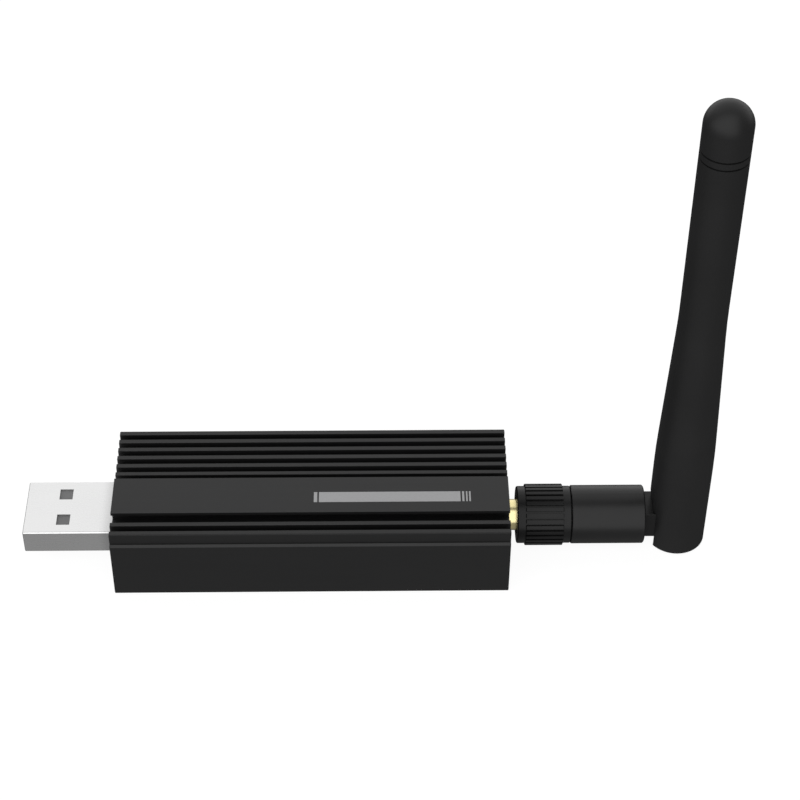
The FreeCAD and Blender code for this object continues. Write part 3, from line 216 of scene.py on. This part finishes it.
class Finish(object):
    """A node material. Its pattern coordinates are the object's own, in metres."""

    def __init__(self, name, **values):
        self.m = bpy.data.materials.new(name)
        self.m.use_nodes = True
        self.t = self.m.node_tree
        self.t.nodes.clear()
        self.out = self.t.nodes.new("ShaderNodeOutputMaterial")
        self.bsdf = self.t.nodes.new("ShaderNodeBsdfPrincipled")
        self.t.links.new(self.bsdf.outputs[0], self.out.inputs["Surface"])
        for key, value in values.items():
            self.put(self.bsdf.inputs[key.replace("_", " ")], value)
        self.coord = self.t.nodes.new("ShaderNodeTexCoord")
        self.here = self.coord.outputs["Object"]
        self.facing = self.coord.outputs["Normal"]
        self.relief = None

    def put(self, socket, value):
        if isinstance(value, bpy.types.NodeSocket):
            self.t.links.new(value, socket)
        elif isinstance(value, (tuple, list)) and len(value) == 3 and socket.type == "RGBA":
            socket.default_value = (*value, 1)
        else:
            socket.default_value = value

    def node(self, kind, inputs=(), **props):
        n = self.t.nodes.new("ShaderNode" + kind)
        for key, value in props.items():
            setattr(n, key, value)
        for key, value in dict(inputs).items():
            self.put(n.inputs[key], value)
        return n

    def math(self, op, a, b=0.0, c=0.0, clamp=False):
        n = self.node("Math", operation=op, use_clamp=clamp)
        for i, v in enumerate((a, b, c)):
            self.put(n.inputs[i], v)
        return n.outputs[0]

    def scaled(self, x, y, z, vector=None):
        """The coordinates stretched: smaller factors make longer features along that axis."""
        n = self.node("Mapping", {"Vector": vector or self.here, "Scale": (x, y, z)})
        return n.outputs[0]

    def noise(self, size, detail=2.0, rough=0.5, vector=None, distortion=0.0):
        """Noise with features about size metres across, from 0 to 1."""
        n = self.node("TexNoise", {"Vector": vector or self.here, "Scale": 1.0 / size,
                                   "Detail": detail, "Roughness": rough, "Distortion": distortion})
        return n.outputs["Fac"]

    def grains(self, size, vector=None):
        n = self.node("TexVoronoi", {"Vector": vector or self.here, "Scale": 1.0 / size, "Randomness": 1.0},
                      feature="F1")
        return n.outputs["Distance"]

    def span(self, value, low, high, to_low=0.0, to_high=1.0, smooth=False):
        n = self.node("MapRange", {"Value": value, "From Min": low, "From Max": high,
                                   "To Min": to_low, "To Max": to_high},
                      interpolation_type="SMOOTHSTEP" if smooth else "LINEAR", clamp=True)
        return n.outputs["Result"]

    def axes(self, vector=None):
        n = self.node("SeparateXYZ", {"Vector": vector or self.here})
        return n.outputs[0], n.outputs[1], n.outputs[2]

    def blend(self, fac, a, b):
        n = self.node("Mix", data_type="RGBA", blend_type="MIX", clamp_factor=True)
        self.put(n.inputs[0], fac)
        self.put(n.inputs[6], a)
        self.put(n.inputs[7], b)
        return n.outputs[2]

    def tint(self, value, low, high):
        """A colour between two as value goes from 0 to 1."""
        return self.blend(value, low, high)

    def bump(self, height, depth, strength=1.0):
        """Relief depth metres deep for a height of 1."""
        n = self.node("Bump", {"Height": height, "Distance": depth, "Strength": strength})
        if self.relief is not None:
            self.t.links.new(self.relief, n.inputs["Normal"])
        self.relief = n.outputs[0]
        self.t.links.new(self.relief, self.bsdf.inputs["Normal"])

    def box_mask(self, x0, x1, y0, y1, soft):
        """1 inside the rectangle of the top view, 0 outside, with an edge soft metres wide."""
        x, y, _ = self.axes()
        inside = []
        for value, low, high in ((x, x0, x1), (y, y0, y1)):
            inside.append(self.span(value, low - soft, low + soft))
            inside.append(self.span(value, high - soft, high + soft, 1.0, 0.0))
        total = inside[0]
        for v in inside[1:]:
            total = self.math("MULTIPLY", total, v)
        return total


def case_finish(name, printed):
    """Black anodised extrusion: fine blasted grain, faint die lines along X, cut marks on the ends."""
    f = Finish(name, Specular_IOR_Level=0.37, IOR=1.5)
    along = f.scaled(0.012, 1.0, 1.0)
    die = f.noise(0.00022, 3.0, 0.6, along)
    die_wide = f.noise(0.0011, 1.0, 0.5, along)
    grain = f.noise(0.000075, 2.0, 0.6)
    cloud = f.noise(0.012, 3.0, 0.55)
    nx, _, _ = f.axes(f.facing)
    end = f.span(f.math("ABSOLUTE", nx), 0.85, 0.95)
    cut = f.noise(0.00018, 2.0, 0.5, f.scaled(1.0, 0.03, 1.0))
    lines = f.math("ADD", f.math("MULTIPLY", die, f.math("SUBTRACT", 1.0, end)),
                   f.math("MULTIPLY", cut, end))
    tone = f.math("ADD", f.math("MULTIPLY", cloud, 0.5), f.math("MULTIPLY", lines, 0.5))
    colour = f.tint(f.span(tone, 0.3, 0.7), (0.0068, 0.0068, 0.0070), (0.0086, 0.0086, 0.0088))
    rough = f.span(f.math("ADD", f.math("MULTIPLY", die_wide, 0.5), f.math("MULTIPLY", grain, 0.5)),
                   0.3, 0.7, 0.385, 0.445)
    if printed:
        _, _, z = f.axes()
        top = f.math("GREATER_THAN", z, 14.19 * MM)
        bars = None
        for x0, x1 in ((33.51, 34.08), (34.36, 57.91), (58.20, 58.55), (58.84, 59.09), (59.35, 59.62)):
            mask = f.box_mask((x0 - SHIFT) * MM, (x1 - SHIFT) * MM, -5.48 * MM, -3.17 * MM, 0.012 * MM)
            bars = mask if bars is None else f.math("MAXIMUM", bars, mask)
        bars = f.math("MULTIPLY", bars, top)
        speck = f.noise(0.00009, 2.0, 0.6)
        ink = f.tint(f.span(speck, 0.35, 0.7), (0.300, 0.300, 0.305), (0.345, 0.345, 0.350))
        colour = f.blend(bars, colour, ink)
        rough = f.math("ADD", rough, f.math("MULTIPLY", bars, 0.16))
        f.put(f.bsdf.inputs["Base Color"], colour)
        f.put(f.bsdf.inputs["Roughness"], rough)
        f.bump(bars, 0.000006)
    else:
        f.put(f.bsdf.inputs["Base Color"], colour)
        f.put(f.bsdf.inputs["Roughness"], rough)
    f.bump(lines, 0.0000022)
    f.bump(grain, 0.0000016)
    return f.m


def plastic(name, low, high, rough, grain_size=0.00011, depth=0.0000022, spec=0.25, cloud_size=0.006, painted_shade_x=None):
    """Moulded plastic: a fine eroded texture, slight flow marks in tone and gloss. The last argument, as two places
    along X in design mm and a share, paints shade: the base colour darkens towards that share of the low tone from the
    first place to the second."""
    f = Finish(name, Specular_IOR_Level=spec, IOR=1.5)
    cloud = f.noise(cloud_size, 3.0, 0.55)
    grain = f.noise(grain_size, 2.0, 0.6)
    colour = f.tint(f.span(f.math("ADD", f.math("MULTIPLY", cloud, 0.7), f.math("MULTIPLY", grain, 0.3)), 0.35, 0.65),
                    low, high)
    # painted shade: along X the tone darkens between the two given places, in place of shade cast by a neighbouring
    # part
    if painted_shade_x:
        x0, x1, share = painted_shade_x
        x, _, _ = f.axes()
        low_x, high_x = sorted(((x0 - SHIFT) * MM, (x1 - SHIFT) * MM))
        shade_fall = f.span(x, low_x, high_x, *((0.0, 1.0) if x1 > x0 else (1.0, 0.0)), smooth=True)
        colour = f.blend(shade_fall, colour, tuple(v * share for v in low))
    f.put(f.bsdf.inputs["Base Color"], colour)
    f.put(f.bsdf.inputs["Roughness"], f.span(f.math("ADD", f.math("MULTIPLY", cloud, 0.4),
                                                    f.math("MULTIPLY", grain, 0.6)), 0.3, 0.7, rough[0], rough[1]))
    f.bump(grain, depth)
    return f.m


def metal(name, low, high, rough, stretch=(1.0, 1.0, 1.0), line=0.0002, depth=0.0000008, spots=0.004):
    """Bare or plated metal with drawn or turned lines and faint tarnish."""
    f = Finish(name, Metallic=1.0)
    lines = f.noise(line, 3.0, 0.6, f.scaled(*stretch))
    cloud = f.noise(spots, 4.0, 0.6)
    fine = f.noise(0.00005, 1.0, 0.5)
    f.put(f.bsdf.inputs["Base Color"], f.tint(f.span(cloud, 0.3, 0.7), low, high))
    f.put(f.bsdf.inputs["Roughness"], f.span(f.math("ADD", f.math("MULTIPLY", lines, 0.5),
                                                    f.math("MULTIPLY", cloud, 0.5)), 0.3, 0.7, rough[0], rough[1]))
    f.bump(lines, depth)
    f.bump(fine, depth * 0.5)
    return f.m


def plug_nickel_and_painted_shade():
    """Nickel on the plug's drawn sheet: fine lines along it, and painted shade where it enters the case: the tone
    darkens softly over the last 3 mm, in place of the case's shade on it.
    """
    f = Finish("nickel_sheet", Metallic=1.0)
    lines = f.noise(0.00028, 3.0, 0.6, f.scaled(0.02, 1.0, 1.0))
    cloud = f.noise(0.010, 4.0, 0.6)
    fine = f.noise(0.00005, 1.0, 0.5)
    x, _, _ = f.axes()
    # painted shade: the nickel darkens towards 0.53 over the 3 mm before the case's face
    painted_shade_near_case = f.span(x, (-3.0 - SHIFT) * MM, (0.1 - SHIFT) * MM, smooth=True)
    plain = f.tint(f.span(cloud, 0.3, 0.7), (0.762, 0.762, 0.762), (0.785, 0.785, 0.785))
    f.put(f.bsdf.inputs["Base Color"], f.blend(painted_shade_near_case, plain, (0.53, 0.53, 0.53)))
    f.put(f.bsdf.inputs["Roughness"], f.span(f.math("ADD", f.math("MULTIPLY", lines, 0.5),
                                                    f.math("MULTIPLY", cloud, 0.5)), 0.3, 0.7, 0.262, 0.290))
    f.bump(lines, 0.00000010)
    f.bump(fine, 0.00000006)
    return f.m


def board_finish():
    """Green solder mask over copper: faint raised tracks and ground fill."""
    f = Finish("board_mask", IOR=1.5)
    brick = f.node("TexBrick", {"Vector": f.here, "Scale": 420.0, "Mortar Size": 0.035, "Mortar Smooth": 0.2,
                                "Bias": 0.0, "Brick Width": 0.9, "Row Height": 0.22}, offset=0.37)
    tracks = f.math("SUBTRACT", 1.0, brick.outputs["Fac"])
    cloud = f.noise(0.005, 3.0, 0.5)
    deep = f.tint(cloud, (0.006, 0.040, 0.022), (0.008, 0.050, 0.028))
    light = f.tint(cloud, (0.012, 0.085, 0.045), (0.015, 0.10, 0.055))
    f.put(f.bsdf.inputs["Base Color"], f.blend(tracks, deep, light))
    f.put(f.bsdf.inputs["Roughness"], f.span(f.noise(0.0004), 0.3, 0.7, 0.28, 0.38))
    f.bump(tracks, 0.00002)
    return f.m


def clear_finish():
    """Water-clear epoxy of a status light over its pale chip."""
    f = Finish("light_clear", IOR=1.5, Transmission_Weight=0.35)
    cloud = f.noise(0.0006, 3.0, 0.5)
    f.put(f.bsdf.inputs["Base Color"], f.tint(cloud, (0.72, 0.73, 0.66), (0.86, 0.87, 0.80)))
    f.put(f.bsdf.inputs["Roughness"], f.span(cloud, 0.3, 0.7, 0.16, 0.26))
    f.bump(f.noise(0.0002), 0.000004)
    return f.m


def ceramic(name, low, high):
    """A chip part's sintered body, finely speckled."""
    f = Finish(name, IOR=1.55)
    speck = f.noise(0.00009, 3.0, 0.7)
    f.put(f.bsdf.inputs["Base Color"], f.tint(f.span(speck, 0.3, 0.7), low, high))
    f.put(f.bsdf.inputs["Roughness"], f.span(f.noise(0.0003), 0.3, 0.7, 0.45, 0.62))
    f.bump(speck, 0.000006)
    return f.m


FINISHES = {
    "case_anodised": case_finish("case_anodised", True),
    "plate_anodised": case_finish("plate_anodised", False),
    "screw_black": metal("screw_black", (0.030, 0.030, 0.032), (0.045, 0.045, 0.047), (0.34, 0.46), (1, 1, 1), 0.00025, 0.0000015),
    "board_mask": board_finish(),
    "nickel_sheet": plug_nickel_and_painted_shade(),
    "insulator_black": plastic("insulator_black", (0.150, 0.150, 0.152), (0.175, 0.175, 0.177), (0.38, 0.50)),
    "gold": metal("gold", (0.905, 0.790, 0.410), (0.935, 0.825, 0.450), (0.23, 0.29), (1.0, 0.05, 0.05), 0.00015, 0.0000003, 0.003),
    "tin_sheet": metal("tin_sheet", (0.66, 0.66, 0.65), (0.74, 0.74, 0.73), (0.30, 0.42), (0.05, 1, 1), 0.0003, 0.000001),
    "chip_black": plastic("chip_black", (0.014, 0.014, 0.015), (0.022, 0.022, 0.023), (0.50, 0.62), 0.00006, 0.000004),
    "switch_black": plastic("switch_black", (0.018, 0.018, 0.019), (0.024, 0.024, 0.025), (0.34, 0.44)),
    "button_white": plastic("button_white", (0.70, 0.70, 0.67), (0.78, 0.78, 0.75), (0.34, 0.44)),
    "capacitor_tan": ceramic("capacitor_tan", (0.34, 0.23, 0.13), (0.44, 0.31, 0.19)),
    "resistor_black": ceramic("resistor_black", (0.018, 0.018, 0.020), (0.034, 0.034, 0.036)),
    "light_clear": clear_finish(),
    "dielectric_white": plastic("dielectric_white", (0.78, 0.77, 0.74), (0.85, 0.84, 0.81), (0.36, 0.48)),
    # painted shade: the nut darkens from x 74 to 67.2 mm towards the case, in place of the case's shade on it
    "nut_black": plastic("nut_black", (0.0066, 0.0066, 0.0068), (0.0086, 0.0086, 0.0088), (0.30, 0.36), spec=0.23, painted_shade_x=(74.0, 67.2, 0.42)),
    "brass_turned": metal("brass_turned", (0.72, 0.68, 0.58), (0.80, 0.76, 0.66), (0.24, 0.34), (1.0, 0.05, 0.05), 0.00012, 0.000001),
    "spring_steel": metal("spring_steel", (0.50, 0.50, 0.51), (0.58, 0.58, 0.59), (0.26, 0.36)),
    # painted shade: the knuckle's tongue, past the barrel's end at x 89.4 mm, is darker, in place of the shade between
    # the barrel and the whip
    "barrel_black": plastic("barrel_black", (0.0094, 0.0094, 0.0096), (0.0112, 0.0112, 0.0114), (0.33, 0.39), spec=0.27, painted_shade_x=(89.36, 89.60, 0.76)),
    "fork_black": plastic("fork_black", (0.0094, 0.0094, 0.0096), (0.0116, 0.0116, 0.0118), (0.38, 0.46)),
    "whip_skin": plastic("whip_skin", (0.0106, 0.0106, 0.0108), (0.0128, 0.0128, 0.0130), (0.42, 0.49), 0.00013, 0.0000024, cloud_size=0.012),
    "copper": metal("copper", (0.80, 0.42, 0.28), (0.90, 0.52, 0.36), (0.24, 0.36)),
    "cable_jacket": plastic("cable_jacket", (0.016, 0.016, 0.017), (0.022, 0.022, 0.023), (0.34, 0.44)),
}

for n, o in nodes.items():
    slot = o.material_slots[0].material.name.split(".")[0]
    for s in o.material_slots:
        s.material = FINISHES[slot]


# ---------------------------------------------------------------- pieces made here

AXIS = 5.25          # height of the antenna's axis, design mm
HINGE = 95.28        # x of the knuckle's hinge


def piece(name, bm, slot, body=None, sharp=30.0):
    """A mesh object from bm, with its edges over sharp degrees kept crisp."""
    bmesh.ops.recalc_face_normals(bm, faces=bm.faces)
    for face in bm.faces:
        face.smooth = True
    for edge in bm.edges:
        edge.smooth = len(edge.link_faces) == 2 and edge.calc_face_angle(0.0) < math.radians(sharp)
    me = bpy.data.meshes.new(name)
    bm.to_mesh(me)
    bm.free()
    o = bpy.data.objects.new(name, me)
    bpy.context.scene.collection.objects.link(o)
    me.materials.append(FINISHES[slot])
    if body:
        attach(o, body)
    return o


def skin(bm, rings, ends):
    """Quads between neighbouring rings of points. ends is "loop" to join the last ring to the first,
    or "caps" to close both ends."""
    rows = [[bm.verts.new(p) for p in ring] for ring in rings]
    m = len(rows[0])
    pairs = list(zip(rows, rows[1:]))
    if ends == "loop":
        pairs.append((rows[-1], rows[0]))
    for a, b in pairs:
        for k in range(m):
            j = (k + 1) % m
            bm.faces.new((a[k], a[j], b[j], b[k]))
    if ends == "caps":
        bm.faces.new(rows[0])
        bm.faces.new(rows[-1])
    return rows


def brick(bm, low, high, bevel):
    """A box between two corners, with its edges bevelled."""
    made = bmesh.ops.create_cube(bm, size=1.0)["verts"]
    middle, size = (low + high) / 2, high - low
    for v in made:
        v.co = Vector((middle[i] + v.co[i] * size[i] for i in range(3)))
    edges = {e for v in made for e in v.link_edges}
    bmesh.ops.bevel(bm, geom=list(edges), offset=bevel, segments=2, profile=0.5, affect="EDGES")


def threaded_socket():
    """The antenna socket: a square block with four legs, and a neck with a 1/4-36 thread cut in it."""
    m = 128
    angles = [2 * math.pi * k / m for k in range(m)]
    pitch, crest, root = 25.4 / 36, 3.13, 2.71
    neck, start, face = 2.645, 68.2, 71.55

    def ring(x, radius):
        return [at(x, radius(a) * math.cos(a), AXIS + radius(a) * math.sin(a)) for a in angles]

    def round_(r):
        return lambda a: r

    def square(half):
        return lambda a: half / max(abs(math.cos(a)), abs(math.sin(a)))

    def thread(x):
        def radius(a):
            u = (x / pitch - a / (2 * math.pi)) % 1.0
            r = root + (crest - root) * min(max((abs(2 * u - 1) - 0.12) / 0.76, 0.0), 1.0)
            return min(r, neck + (x - start) * 1.9, crest - 0.25 + (face - x) * 1.1)
        return radius

    rings = [ring(62.6, round_(2.05)), ring(62.6, square(3.10)), ring(62.67, square(3.17)),
             ring(64.73, square(3.17)), ring(64.8, square(3.10)), ring(64.8, round_(neck + 0.06)),
             ring(64.86, round_(neck)), ring(66.4, round_(neck)), ring(start - 0.05, round_(neck))]
    count = 66
    for k in range(count + 1):
        x = start + (face - start - 0.02) * k / count
        rings.append(ring(x, thread(x)))
    rings += [ring(face, round_(2.82)), ring(face, round_(2.36)), ring(face - 0.06, round_(2.30)),
              ring(69.65, round_(2.30)), ring(69.65, round_(2.05))]
    bm = bmesh.new()
    skin(bm, rings, "loop")
    for side in (1, -1):
        for z0, z1 in ((5.0, 6.2), (2.2, 3.4)):
            y0, y1 = sorted((side * 2.17, side * 3.17))
            brick(bm, at(59.4, y0, z0), at(62.64, y1, z1), 0.05 * MM)
    o = piece("antenna_socket_threaded", bm, "gold", "stick", sharp=28.0)
    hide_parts("antenna_jack_body")
    return o


def feed_cable():
    """The cable through the antenna: it bends where the knuckle does."""
    bend, radius, m = 3.20, 0.685, 32
    path = [((x, AXIS), (1.0, 0.0)) for x in np.linspace(73.6, HINGE - bend, 20)]
    for a in np.linspace(0, math.pi / 2, 25)[1:]:
        path.append(((HINGE - bend + bend * math.sin(a), AXIS + bend * (1 - math.cos(a))), (math.cos(a), math.sin(a))))
    path += [((HINGE, z), (0.0, 1.0)) for z in np.linspace(AXIS + bend, 44.75, 40)[1:]]
    rings = []
    for (x, z), (tx, tz) in path:
        ring = []
        for k in range(m):
            a = 2 * math.pi * k / m
            side = radius * math.sin(a)
            ring.append(at(x - tz * side, radius * math.cos(a), z + tx * side))
        rings.append(ring)
    bm = bmesh.new()
    skin(bm, rings, "caps")
    o = piece("feed_cable", bm, "cable_jacket", sharp=40.0)
    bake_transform(o)
    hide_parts("feed_coax")
    return o


threaded_socket()
feed_cable()
